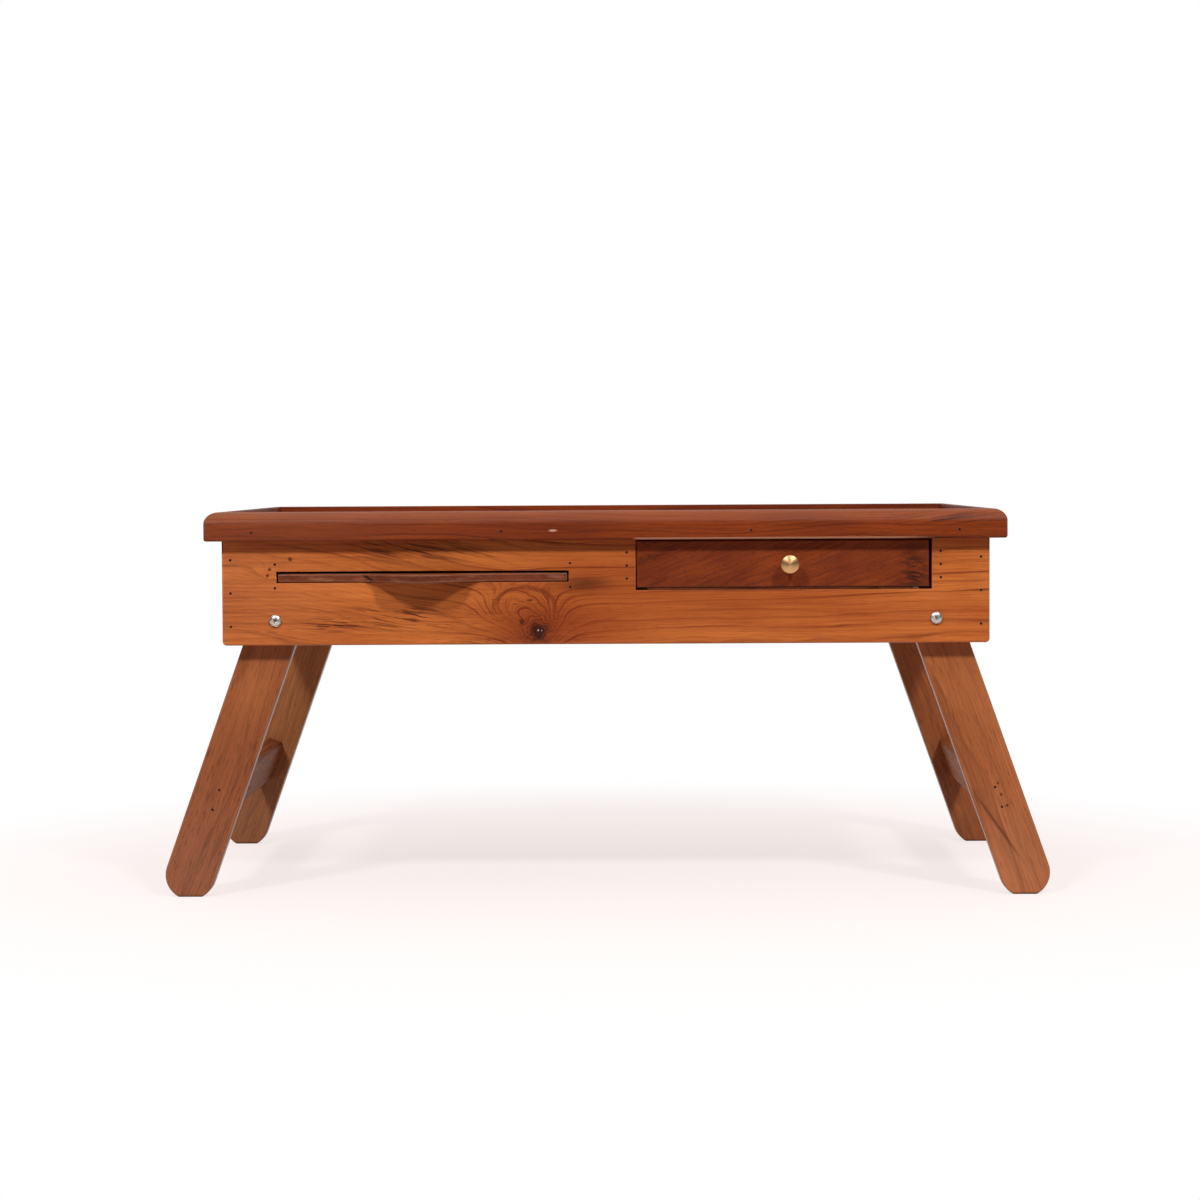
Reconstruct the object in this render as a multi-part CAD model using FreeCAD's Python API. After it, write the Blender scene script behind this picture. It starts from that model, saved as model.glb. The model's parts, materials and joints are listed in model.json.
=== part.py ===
# Folding lap desk in solid wood: a shallow tray on an apron box, with a drawer, a pull-out board
# with a finger tongue, and two leg frames that fold in under the tray.
# Millimetres, +Z up, +Y to the back. The pieces are drawn about the middle of the tray, and the
# finished desk then moves back a little, so that its origin is on the floor under the middle of
# everything, the board's tongue and the knob included.

import FreeCAD
import Part
import math
import os

from FreeCAD import Vector

# Tray
tray_width = 550.0  # over the rim, left to right
tray_depth = 350.0  # over the rim, front to back
total_height = 268.0  # floor to the top of the rim
rim_height = 20.0
rim_thickness = 11.0
rim_roundover = 9.0  # outer top edge of the rim
rim_corner = 2.0  # upright outer corners and lower outer edge of the rim
panel_thickness = 12.0

# Apron box under the tray
apron_thickness = 12.0
apron_corner = 3.0  # lower corners of the front and rear boards
edge_ease = 0.8  # broken arris of every board that a hand touches
slot_margin = 25.6  # from the left side apron to the slot
drawer_margin = 27.6  # from the right side apron to the drawer opening
centre_gap = 46.0  # between the slot and the drawer opening, which the slot's width makes up
opening_width = 203.5
opening_height = 35.0  # drawer opening, cut down from the apron's top edge

# Drawer
drawer_gap_side = 1.3
drawer_gap_under = 1.4
drawer_gap_over = 1.0
drawer_shift = -0.6  # it hangs a little to the left in its opening
drawer_front_thickness = 12.0
drawer_wall = 8.0
drawer_lap = 6.0  # the sides lie this deep in rebates at the ends of the drawer front
drawer_bottom_thickness = 4.0
drawer_rear_room = 36.0  # free depth behind the closed drawer
drawer_side_drop = 3.0  # from the tray panel down to the drawer's sides
partition_thickness = 12.0
runner_width = 8.0
runner_height = 5.0
runner_setback = 0.5  # the closed drawer front stops on the runners' ends
running_gap = 0.3  # between pieces that slide on each other

# Knob and its screw
knob_diameter = 12.7
knob_length = 15.0
knob_base_diameter = 9.0
knob_neck_diameter = 6.5
knob_head_length = 6.5
knob_base_length = 1.6
knob_dome = 0.9
knob_edge = 1.0
knob_flare = 0.5  # rise of the cone under the head, over its width
knob_offset = 4.4  # the knob sits right of the drawer front's middle
knob_screw_diameter = 3.0
knob_screw_head = 6.0
knob_screw_head_height = 2.2
knob_screw_bite = 6.0  # length of screw inside the knob

# Pull-out board
board_thickness = 6.0
board_gap_side = 1.1
board_recess = 1.0  # the front edge lies this far inside the apron's face
tongue_reach = 27.0  # finger tongue in the middle of the front edge
tongue_share = 0.52  # of the board's width, where the tongue runs out into the front edge
slot_height = 7.8
slot_rise = 6.0  # slot's floor over the floor of the drawer opening
guide_thickness = 12.0
guide_groove = 5.0  # depth of the groove that carries the board's edge
board_stop_gap = 0.5  # behind the board, which stops on the rear apron

# Leg frames
leg_width = 34.5
leg_thickness = 13.0
leg_splay = 19.5  # degrees from upright, held by the side apron's lower edge
leg_stop_gap = 0.3
leg_head_gap = 1.5  # over the folded legs, to the partitions and guides
bay_gap = 2.5  # over the folded legs, to the drawer opening
foot_flat = 2.0  # how much of the round foot is cut away to stand flat
stretcher_width = 32.0
stretcher_thickness = 13.0
stretcher_drop = 133.0  # along the leg, pivot to the middle of the stretcher
stretcher_round = 2.5

# Pivot hardware
bolt_diameter = 4.0
bolt_head_diameter = 8.2
bolt_head_height = 2.8
bolt_head_edge = 0.7  # straight rim of the pan head
bolt_tip = 1.5  # bolt end past the nut
recess_width = 0.9  # cross recess in the bolt head
recess_length = 4.4
recess_depth = 1.4
washer_diameter = 10.0
washer_thickness = 1.0
nut_across_flats = 7.0
nut_height = 5.0
bolt_clearance = 0.05  # radial, between a bolt and the leg that turns on it
hole_clearance = 0.2  # radial, between a fastener and a plain hole
thread_clearance = 0.02  # radial, between a screw and its thread

# Nails, driven in until the head is all but level with the wood
nail_diameter = 1.8
nail_side_count = 8  # flats that stand for the round wire
nail_length = 26.0
nail_proud = 0.1
corner_nail_count = 3  # at each corner of the apron box
corner_nail_margin = 13.0  # from a board's edge to its outer nails
partition_nail_count = 3  # at each end of a partition
partition_nail_margin = 9.0
guide_nail_rise = 5.0  # over the slot's top
rim_nail_margin = 33.0  # from the corners of the rim
rim_nail_pitch = 171.0
stretcher_nail_pitch = 14.6
drawer_nail_length = 18.0
drawer_nail_margin = 6.0

# Levels and faces that several pieces share
apron_top = total_height - rim_height
bay_height = leg_width + bay_gap
opening_floor = apron_top - opening_height
apron_bottom = opening_floor - bay_height
partition_bottom = apron_bottom + leg_width + leg_head_gap
apron_x = tray_width / 2 - rim_thickness
apron_y = tray_depth / 2 - rim_thickness
inner_x = apron_x - apron_thickness
inner_y = apron_y - apron_thickness
opening_x = (inner_x - drawer_margin - opening_width, inner_x - drawer_margin)
slot_x = (-inner_x + slot_margin, opening_x[0] - centre_gap)
slot_z = (opening_floor + slot_rise, opening_floor + slot_rise + slot_height)

# A folded leg lies flush with the apron's lower edge, and an open one leans on the side apron.
pivot_z = apron_bottom + leg_width / 2
splay = math.radians(leg_splay)
lean_at_stop = math.tan(splay) * (pivot_z - apron_bottom) + leg_width / 2 / math.cos(splay)
pivot_x = inner_x - leg_stop_gap - lean_at_stop
leg_outer_y = inner_y - washer_thickness
leg_inner_y = leg_outer_y - leg_thickness

# The desk's reach to the front and to the back, and the move that centres it
front_reach = max(apron_y - board_recess + tongue_reach, apron_y + knob_length)
rear_reach = tray_depth / 2 + nail_proud
centring = Vector(0, (front_reach - rear_reach) / 2, 0)

FRONT = -1
REAR = 1
LEFT = -1
RIGHT = 1


def block(x, y, z):
    """Box between two x, two y and two z values."""
    size = (x[1] - x[0], y[1] - y[0], z[1] - z[0])
    return Part.makeBox(*size, Vector(x[0], y[0], z[0]))


def cylinder_along_y(radius, y, x, z):
    """Round bar between two y values, on the axis through x and z."""
    return Part.makeCylinder(radius, y[1] - y[0], Vector(x, y[0], z), Vector(0, 1, 0))


def closed_face(edges):
    """Face inside a closed run of lines and arcs."""
    return Part.Face(Part.Wire([edge.toShape() for edge in edges]))


def rounded_face(corners, to_space):
    """Face of a polygon whose corners (u, v, radius) are rounded, placed by to_space(u, v)."""
    ends = []
    for i, (u, v, radius) in enumerate(corners):
        here = Vector(u, v, 0)
        before = (Vector(*corners[i - 1][:2], 0) - here).normalize()
        after = (Vector(*corners[(i + 1) % len(corners)][:2], 0) - here).normalize()
        half = before.getAngle(after) / 2
        reach = radius / math.tan(half)
        middle = here + (before + after).normalize() * (radius / math.sin(half) - radius)
        ends.append((here + before * reach, middle, here + after * reach, radius))

    def place(point):
        return to_space(point.x, point.y)

    edges = []
    for i, (start, middle, end, radius) in enumerate(ends):
        if radius > 0:
            edges.append(Part.Arc(place(start), place(middle), place(end)))
        following = ends[(i + 1) % len(ends)][0]
        edges.append(Part.LineSegment(place(end), place(following)))
    return closed_face(edges)


def ease(shape, is_eased, size=edge_ease):
    """Breaks the edges whose middle point passes the test."""
    chosen = []
    for edge in shape.Edges:
        middle = edge.valueAt((edge.FirstParameter + edge.LastParameter) / 2)
        if is_eased(middle):
            chosen.append(edge)
    return shape.makeChamfer(size, chosen)


def crown_fall(reach, rise):
    """How far a round crown, turned here as two cones, has fallen half way out to its edge."""
    radius = (reach**2 + rise**2) / (2 * rise)
    return radius - math.sqrt(radius**2 - reach**2 / 4)


def near(a, b):
    return abs(a - b) < 1e-4


def mirrored_x(shape):
    return shape.mirror(Vector(0, 0, 0), Vector(1, 0, 0))


def mirrored_y(shape):
    return shape.mirror(Vector(0, 0, 0), Vector(0, 1, 0))


# Tray


def rim_profile(to_space):
    """Section of a rim strip: u runs outwards from the panel's edge, v upwards."""
    corners = [
        (0, apron_top, 0),
        (rim_thickness, apron_top, rim_corner),
        (rim_thickness, total_height, rim_roundover),
        (0, total_height, edge_ease),
    ]
    return rounded_face(corners, to_space)


def mitred(strip, length_axis, half_length):
    """Cuts a strip's ends at 45 degrees and rounds the upright outer corners of the tray."""
    x, y = tray_width / 2, tray_depth / 2
    plan = [(-x, -y, rim_corner), (x, -y, rim_corner), (x, y, rim_corner), (-x, y, rim_corner)]
    outline = rounded_face(plan, lambda u, v: Vector(u, v, 0))
    strip = strip.common(outline.extrude(Vector(0, 0, total_height)))
    inside = half_length - rim_thickness
    for end in (-1, 1):
        offcut = [
            (end * inside, 0),
            (end * half_length, rim_thickness),
            (end * half_length, 0),
        ]
        points = [length_axis(along, out) for along, out in offcut]
        wedge = Part.Face(Part.makePolygon(points + points[:1])).extrude(Vector(0, 0, total_height))
        strip = strip.cut(wedge)
    return strip


def rim_front():
    profile = rim_profile(lambda u, v: Vector(-tray_width / 2, -apron_y - u, v))
    strip = profile.extrude(Vector(tray_width, 0, 0))
    return mitred(strip, lambda along, out: Vector(along, -apron_y - out, 0), tray_width / 2)


def rim_right():
    profile = rim_profile(lambda u, v: Vector(apron_x + u, -tray_depth / 2, v))
    strip = profile.extrude(Vector(0, tray_depth, 0))
    return mitred(strip, lambda along, out: Vector(apron_x + out, along, 0), tray_depth / 2)


def tray_panel():
    return block((-apron_x, apron_x), (-apron_y, apron_y), (apron_top, apron_top + panel_thickness))


# Apron box


def long_apron(side):
    """Front or rear board: rounded lower corners, eased outer face and the holes for two bolts."""
    corners = [
        (-apron_x, apron_bottom, apron_corner),
        (apron_x, apron_bottom, apron_corner),
        (apron_x, apron_top, 0),
        (-apron_x, apron_top, 0),
    ]
    outer = rounded_face(corners, lambda u, v: Vector(u, side * apron_y, v))
    board = outer.extrude(Vector(0, -side * apron_thickness, 0))
    board = ease(board, lambda p: near(p.y, side * apron_y) and p.z < apron_top - edge_ease)
    radius = bolt_diameter / 2 + hole_clearance
    for x in (-pivot_x, pivot_x):
        board = board.cut(cylinder_along_y(radius, (-tray_depth, tray_depth), x, pivot_z))
    return board


def apron_front():
    """The front board also has the drawer's notch and the pull-out board's slot."""
    board = long_apron(FRONT)
    through = (-tray_depth, 0)
    notch = block(opening_x, through, (opening_floor, total_height))
    slot = block(slot_x, through, slot_z)
    return board.cut(notch).cut(slot)


def apron_side(side):
    """Side board between the front and rear boards, whose lower inner edge stops the legs."""
    outer, inner = sorted((side * apron_x, side * inner_x)), side * apron_x
    board = block(outer, (-inner_y, inner_y), (apron_bottom, apron_top))
    return ease(board, lambda p: near(p.x, inner) and near(p.z, apron_bottom))


# Drawer bay and slide guides


partition_x = {
    LEFT: (opening_x[0] - partition_thickness, opening_x[0]),
    RIGHT: (opening_x[1], opening_x[1] + partition_thickness),
}
guide_x = {
    LEFT: (slot_x[0] + guide_groove - guide_thickness, slot_x[0] + guide_groove),
    RIGHT: (slot_x[1] - guide_groove, slot_x[1] - guide_groove + guide_thickness),
}


def drawer_partition(side):
    """Upright board beside the drawer opening, from the front board to the rear one."""
    return block(partition_x[side], (-inner_y, inner_y), (partition_bottom, apron_top))


def drawer_runner(side):
    """Ledge on the partition that carries the drawer's bottom."""
    if side == LEFT:
        x = (opening_x[0], opening_x[0] + runner_width)
    else:
        x = (opening_x[1] - runner_width, opening_x[1])
    z = (partition_bottom, partition_bottom + runner_height)
    return block(x, (-inner_y + runner_setback, inner_y), z)


def slide_guide(side):
    """Grooved board that carries one edge of the pull-out board."""
    guide = block(guide_x[side], (-inner_y, inner_y), (partition_bottom, apron_top))
    groove = block(slot_x, (-inner_y, inner_y), slot_z)
    return guide.cut(groove)


board_x = (slot_x[0] + board_gap_side, slot_x[1] - board_gap_side)
tongue_width = tongue_share * (board_x[1] - board_x[0])


def tongue_arcs(middle, front, z):
    """Finger tongue as four arcs that run into each other, hollow at its root and round at its tip."""
    span, rise = tongue_width / 4, tongue_reach / 2
    radius = (span**2 + rise**2) / (2 * rise)
    half_turn = math.atan(rise / span)
    over, fall = radius * math.sin(half_turn), radius * (1 - math.cos(half_turn))
    profile = [
        (2 * span, 0),
        (2 * span - over, fall),
        (span, rise),
        (over, tongue_reach - fall),
        (0, tongue_reach),
    ]
    left = [Vector(middle - x, front - y, z) for x, y in profile]
    right = [Vector(middle + x, front - y, z) for x, y in reversed(profile)]
    return [Part.Arc(*side[i : i + 3]) for side in (left, right) for i in (0, 2)]


def slide_board():
    """Pull-out board with a finger tongue, resting on the floor of its grooves."""
    left, right = board_x
    middle = (left + right) / 2
    back = inner_y - board_stop_gap
    front = -apron_y + board_recess
    z = slot_z[0] + running_gap
    corners = [
        (middle + tongue_width / 2, front),
        (right, front),
        (right, back),
        (left, back),
        (left, front),
        (middle - tongue_width / 2, front),
    ]
    points = [Vector(x, y, z) for x, y in corners]
    sides = [Part.LineSegment(start, end) for start, end in zip(points, points[1:])]
    board = closed_face(tongue_arcs(middle, front, z) + sides).extrude(Vector(0, 0, board_thickness))
    faces = (z, z + board_thickness)
    return ease(board, lambda p: any(near(p.z, level) for level in faces) and p.y < back - edge_ease)


# Drawer

drawer_x = (opening_x[0] + drawer_gap_side + drawer_shift, opening_x[1] - drawer_gap_side + drawer_shift)
drawer_middle = (drawer_x[0] + drawer_x[1]) / 2
drawer_front_z = (opening_floor + drawer_gap_under, apron_top - drawer_gap_over)
drawer_front_back = -apron_y + drawer_front_thickness
drawer_end = inner_y - drawer_rear_room
drawer_floor_z = (
    partition_bottom + runner_height + running_gap,
    partition_bottom + runner_height + running_gap + drawer_bottom_thickness,
)
drawer_wall_z = (drawer_floor_z[1], apron_top - drawer_side_drop)
knob_x = drawer_middle + knob_offset
knob_z = (drawer_front_z[0] + drawer_front_z[1]) / 2


drawer_side_x = {
    LEFT: (drawer_x[0], drawer_x[0] + drawer_wall),
    RIGHT: (drawer_x[1] - drawer_wall, drawer_x[1]),
}


def drawer_front():
    """Front with a rebate at each end for the drawer's sides, and the hole for the knob's screw."""
    front = block(drawer_x, (-apron_y, drawer_front_back), drawer_front_z)
    front = ease(front, lambda p: near(p.y, -apron_y))
    for side in (LEFT, RIGHT):
        y = (drawer_front_back - drawer_lap, drawer_front_back)
        front = front.cut(block(drawer_side_x[side], y, (drawer_floor_z[0], apron_top)))
    radius = knob_screw_diameter / 2 + hole_clearance
    return front.cut(cylinder_along_y(radius, (-tray_depth, 0), knob_x, knob_z))


def drawer_side(side):
    return block(drawer_side_x[side], (drawer_front_back - drawer_lap, drawer_end), drawer_wall_z)


def drawer_back():
    x = (drawer_x[0] + drawer_wall, drawer_x[1] - drawer_wall)
    return block(x, (drawer_end - drawer_wall, drawer_end), drawer_wall_z)


def drawer_bottom():
    return block(drawer_x, (drawer_front_back, drawer_end), drawer_floor_z)


def drawer_knob():
    """Turned knob with a foot, a waist and a slightly domed face, bored for its screw."""
    face = -apron_y
    rim = knob_diameter / 2
    neck_start = face - knob_base_length
    head_start = face - (knob_length - knob_head_length)
    head_end = face - knob_length + knob_dome

    def at(radius, y):
        return Vector(knob_x + radius, y, knob_z)

    base, neck = knob_base_diameter / 2, knob_neck_diameter / 2
    dome_reach = rim - knob_edge
    dome_fall = crown_fall(dome_reach, knob_dome)
    turned = [
        at(0, face),
        at(base, face),
        at(base, neck_start),
        at(neck, neck_start - (base - neck)),
        at(neck, head_start + (dome_reach - neck) * knob_flare),
        at(dome_reach, head_start),
        at(rim, head_start - knob_edge),
        at(rim, head_end + knob_edge),
        at(dome_reach, head_end),
        at(dome_reach / 2, face - knob_length + dome_fall),
        at(0, face - knob_length),
        at(0, face),
    ]
    knob = Part.Face(Part.makePolygon(turned)).revolve(Vector(knob_x, 0, knob_z), Vector(0, 1, 0), 360)
    radius = knob_screw_diameter / 2 + thread_clearance
    return knob.cut(cylinder_along_y(radius, (face - knob_screw_bite, face), knob_x, knob_z))


def knob_screw():
    """Screw from inside the drawer, through its front and into the knob."""
    shank_y = (-apron_y - knob_screw_bite, drawer_front_back)
    head_y = (drawer_front_back, drawer_front_back + knob_screw_head_height)
    shank = cylinder_along_y(knob_screw_diameter / 2, shank_y, knob_x, knob_z)
    head = cylinder_along_y(knob_screw_head / 2, head_y, knob_x, knob_z)
    head = ease(head, lambda p: near(p.y, head_y[1]), knob_screw_head_height / 3)
    return shank.fuse(head)


# Leg frames, drawn on the left and mirrored


def along_leg(drop, out):
    """Point of the left leg's outline: drop down its length from the pivot, out to its outer side."""
    x = -pivot_x - drop * math.sin(splay) - out * math.cos(splay)
    z = pivot_z - drop * math.cos(splay) + out * math.sin(splay)
    return x, z


def left_leg(side):
    """Flat leg with both ends round, cut flat where it stands, and bored for its pivot bolt."""
    half = leg_width / 2
    foot_centre = (pivot_z - half + foot_flat) / math.cos(splay)
    outer = side * leg_outer_y

    def at(drop, out):
        x, z = along_leg(drop, out)
        return Vector(x, outer, z)

    outline = [
        Part.Arc(at(0, -half), at(-half, 0), at(0, half)),
        Part.LineSegment(at(0, half), at(foot_centre, half)),
        Part.Arc(at(foot_centre, half), at(foot_centre + half, 0), at(foot_centre, -half)),
        Part.LineSegment(at(foot_centre, -half), at(0, -half)),
    ]
    leg = closed_face(outline).extrude(Vector(0, -side * leg_thickness, 0))
    leg = leg.common(block((-tray_width, tray_width), (-tray_depth, tray_depth), (0, total_height)))
    faces = (side * leg_outer_y, side * leg_inner_y)
    leg = ease(leg, lambda p: any(near(p.y, y) for y in faces))
    radius = bolt_diameter / 2 + bolt_clearance
    return leg.cut(cylinder_along_y(radius, (-tray_depth, tray_depth), -pivot_x, pivot_z))


def left_stretcher():
    """Bar between the front and rear legs, set edgewise along them."""
    half_width, half_thick = stretcher_width / 2, stretcher_thickness / 2
    corners = [
        (stretcher_drop - half_width, -half_thick, stretcher_round),
        (stretcher_drop - half_width, half_thick, stretcher_round),
        (stretcher_drop + half_width, half_thick, stretcher_round),
        (stretcher_drop + half_width, -half_thick, stretcher_round),
    ]

    def place(drop, out):
        x, z = along_leg(drop, out)
        return Vector(x, -leg_inner_y, z)

    return rounded_face(corners, place).extrude(Vector(0, 2 * leg_inner_y, 0))


# Pivot hardware, drawn at the front left and mirrored to all four corners


def four_corners(shape):
    left = [shape, mirrored_y(shape)]
    return Part.makeCompound(left + [mirrored_x(one) for one in left])


def pivot_bolt():
    """Pan-head bolt with a cross recess."""
    face = -apron_y
    rim = bolt_head_diameter / 2
    inner_end = -leg_inner_y + washer_thickness + nut_height + bolt_tip

    def at(radius, y):
        return Vector(-pivot_x + radius, y, pivot_z)

    shank = bolt_diameter / 2
    crown = face - bolt_head_height
    shoulder = face - bolt_head_edge
    fall = crown_fall(rim, bolt_head_height - bolt_head_edge)
    turned = [
        at(0, inner_end),
        at(shank, inner_end),
        at(shank, face),
        at(rim, face),
        at(rim, shoulder),
        at(rim / 2, crown + fall),
        at(0, crown),
        at(0, inner_end),
    ]
    bolt = Part.Face(Part.makePolygon(turned)).revolve(Vector(-pivot_x, 0, pivot_z), Vector(0, 1, 0), 360)
    arms = []
    for wide, tall in ((recess_length, recess_width), (recess_width, recess_length)):
        x = (-pivot_x - wide / 2, -pivot_x + wide / 2)
        z = (pivot_z - tall / 2, pivot_z + tall / 2)
        arms.append(block(x, (crown - bolt_head_edge, crown + recess_depth), z))
    return bolt.cut(arms[0].fuse(arms[1]))


def pivot_washer(y):
    ring = cylinder_along_y(washer_diameter / 2, (y, y + washer_thickness), -pivot_x, pivot_z)
    hole = cylinder_along_y(bolt_diameter / 2 + hole_clearance, (y, y + washer_thickness), -pivot_x, pivot_z)
    return ring.cut(hole)


def pivot_nut():
    start = -leg_inner_y + washer_thickness
    reach = nut_across_flats / 2 / math.cos(math.pi / 6)
    corners = []
    for i in range(6):
        turn = math.pi / 3 * i
        corners.append(Vector(-pivot_x + reach * math.cos(turn), start, pivot_z + reach * math.sin(turn)))
    nut = Part.Face(Part.makePolygon(corners + corners[:1])).extrude(Vector(0, nut_height, 0))
    radius = bolt_diameter / 2 + thread_clearance
    return nut.cut(cylinder_along_y(radius, (start, start + nut_height), -pivot_x, pivot_z))


# Nails


def nail(head, inwards, length=nail_length):
    """Nail whose head stands a little out of the wood at the given point."""
    top = head - inwards * nail_proud
    across = Vector(0, 0, nail_diameter / 2)
    turn = FreeCAD.Rotation(inwards, 360 / nail_side_count)
    corners = [top + across]
    for _ in range(nail_side_count):
        across = turn.multVec(across)
        corners.append(top + across)
    return Part.Face(Part.makePolygon(corners)).extrude(inwards * length)


def spread(low, high, margin, count):
    """Evenly spaced places between two edges."""
    step = (high - low - 2 * margin) / (count - 1)
    return [low + margin + step * i for i in range(count)]


def along_rim(half_length):
    """Nail places along a rim strip: a steady pitch from one end, and one nail near the other."""
    last = half_length - rim_nail_margin
    places = [-last]
    while places[-1] + 1.5 * rim_nail_pitch < last:
        places.append(places[-1] + rim_nail_pitch)
    return places + [last]


def nails_through_long_aprons(places):
    """Nails at the given (x, z) places through the front board, and the same through the rear one."""
    nails = []
    for side in (FRONT, REAR):
        for x, z in places:
            nails.append(nail(Vector(x, side * apron_y, z), Vector(0, -side, 0)))
    return Part.makeCompound(nails)


def corner_nails():
    levels = spread(apron_bottom, apron_top, corner_nail_margin, corner_nail_count)
    middle = inner_x + apron_thickness / 2
    return nails_through_long_aprons([(x, z) for x in (-middle, middle) for z in levels])


def partition_nails():
    levels = spread(partition_bottom, apron_top, partition_nail_margin, partition_nail_count)
    middles = [sum(partition_x[side]) / 2 for side in (LEFT, RIGHT)]
    return nails_through_long_aprons([(x, z) for x in middles for z in levels])


def guide_nails():
    levels = ((partition_bottom + slot_z[0]) / 2, slot_z[1] + guide_nail_rise)
    middles = [sum(guide_x[side]) / 2 for side in (LEFT, RIGHT)]
    return nails_through_long_aprons([(x, z) for x in middles for z in levels])


def rim_nails():
    level = apron_top + panel_thickness / 2
    nails = []
    for side in (-1, 1):
        for x in along_rim(tray_width / 2):
            nails.append(nail(Vector(x, side * tray_depth / 2, level), Vector(0, -side, 0)))
        for y in along_rim(tray_depth / 2):
            nails.append(nail(Vector(side * tray_width / 2, y, level), Vector(-side, 0, 0)))
    return Part.makeCompound(nails)


def left_stretcher_nails():
    nails = []
    for side in (FRONT, REAR):
        for step in (-0.5, 0.5):
            x, z = along_leg(stretcher_drop + step * stretcher_nail_pitch, 0)
            nails.append(nail(Vector(x, side * leg_outer_y, z), Vector(0, -side, 0)))
    return Part.makeCompound(nails)


def drawer_nails():
    """Nails through the drawer's sides into the ends of its front and back."""
    levels = spread(*drawer_wall_z, drawer_nail_margin, 2)
    rows = (drawer_front_back - drawer_lap / 2, drawer_end - drawer_wall / 2)
    nails = []
    for side, x in ((LEFT, drawer_x[0]), (RIGHT, drawer_x[1])):
        for y in rows:
            for z in levels:
                nails.append(nail(Vector(x, y, z), Vector(-side, 0, 0), drawer_nail_length))
    return Part.makeCompound(nails)


def pieces():
    """Every piece of the desk by name."""
    front, right = rim_front(), rim_right()
    leg_front, leg_rear = left_leg(FRONT), left_leg(REAR)
    stretcher, stretcher_nails = left_stretcher(), left_stretcher_nails()
    washers = [four_corners(pivot_washer(y)) for y in (-inner_y, -leg_inner_y)]
    return {
        "tray_panel": tray_panel(),
        "rim_front": front,
        "rim_rear": mirrored_y(front),
        "rim_left": mirrored_x(right),
        "rim_right": right,
        "apron_front": apron_front(),
        "apron_rear": long_apron(REAR),
        "apron_left": apron_side(LEFT),
        "apron_right": apron_side(RIGHT),
        "drawer_partition_left": drawer_partition(LEFT),
        "drawer_partition_right": drawer_partition(RIGHT),
        "drawer_runner_left": drawer_runner(LEFT),
        "drawer_runner_right": drawer_runner(RIGHT),
        "slide_guide_left": slide_guide(LEFT),
        "slide_guide_right": slide_guide(RIGHT),
        "slide_board": slide_board(),
        "drawer_front": drawer_front(),
        "drawer_side_left": drawer_side(LEFT),
        "drawer_side_right": drawer_side(RIGHT),
        "drawer_back": drawer_back(),
        "drawer_bottom": drawer_bottom(),
        "drawer_knob": drawer_knob(),
        "knob_screw": knob_screw(),
        "leg_front_left": leg_front,
        "leg_rear_left": leg_rear,
        "stretcher_left": stretcher,
        "leg_front_right": mirrored_x(leg_front),
        "leg_rear_right": mirrored_x(leg_rear),
        "stretcher_right": mirrored_x(stretcher),
        "pivot_bolts": four_corners(pivot_bolt()),
        "pivot_washers": Part.makeCompound(washers),
        "pivot_nuts": four_corners(pivot_nut()),
        "corner_nails": corner_nails(),
        "partition_nails": partition_nails(),
        "guide_nails": guide_nails(),
        "rim_nails": rim_nails(),
        "stretcher_nails_left": stretcher_nails,
        "stretcher_nails_right": mirrored_x(stretcher_nails),
        "drawer_nails": drawer_nails(),
    }


os.makedirs("parts", exist_ok=True)
for name, shape in pieces().items():
    if not shape.isValid():
        raise ValueError(name + " is not a valid shape")
    shape = shape.translated(centring)
    shape.exportStep(os.path.join("parts", name + ".step"))
    print(name, len(shape.Solids), "solid(s)", round(shape.Volume), "mm3")
print("pivots at x", round(pivot_x, 3), "z", round(pivot_z, 3), "all moved back", round(centring.y, 3))
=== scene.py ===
import json
import math
from functools import partial

import bmesh
import bpy
from mathutils import Matrix, Vector

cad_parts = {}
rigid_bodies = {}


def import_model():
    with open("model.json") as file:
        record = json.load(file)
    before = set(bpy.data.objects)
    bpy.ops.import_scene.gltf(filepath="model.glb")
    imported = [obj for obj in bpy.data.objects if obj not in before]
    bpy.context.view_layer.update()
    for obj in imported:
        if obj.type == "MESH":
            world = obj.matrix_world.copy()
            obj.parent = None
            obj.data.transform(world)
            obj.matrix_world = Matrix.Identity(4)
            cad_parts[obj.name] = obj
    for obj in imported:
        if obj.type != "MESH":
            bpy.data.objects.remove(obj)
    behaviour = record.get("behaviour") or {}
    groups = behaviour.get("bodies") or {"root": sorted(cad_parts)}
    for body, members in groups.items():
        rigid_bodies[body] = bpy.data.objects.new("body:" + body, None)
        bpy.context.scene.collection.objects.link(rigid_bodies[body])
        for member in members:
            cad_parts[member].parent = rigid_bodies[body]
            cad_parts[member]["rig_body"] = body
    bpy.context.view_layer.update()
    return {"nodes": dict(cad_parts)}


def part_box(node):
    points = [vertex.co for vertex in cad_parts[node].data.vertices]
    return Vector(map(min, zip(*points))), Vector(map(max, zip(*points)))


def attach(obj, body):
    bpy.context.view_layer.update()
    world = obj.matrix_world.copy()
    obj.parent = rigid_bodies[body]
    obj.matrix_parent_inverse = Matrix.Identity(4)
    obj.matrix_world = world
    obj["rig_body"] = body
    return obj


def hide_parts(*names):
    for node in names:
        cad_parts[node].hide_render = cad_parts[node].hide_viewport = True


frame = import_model()
nodes = frame["nodes"]
mm = 0.001
weld = 2e-6  # m: corners of a CAD mesh nearer than this are one
scene = bpy.context.scene
print("frame loaded:", len(nodes), "CAD pieces")


def linear(hexColour):
    # sRGB hex to the linear values that colour sockets take
    channels = [int(hexColour[i:i + 2], 16) / 255 for i in (1, 3, 5)]
    return [c / 12.92 if c <= 0.04045 else ((c + 0.055) / 1.055) ** 2.4 for c in channels] + [1.0]


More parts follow.
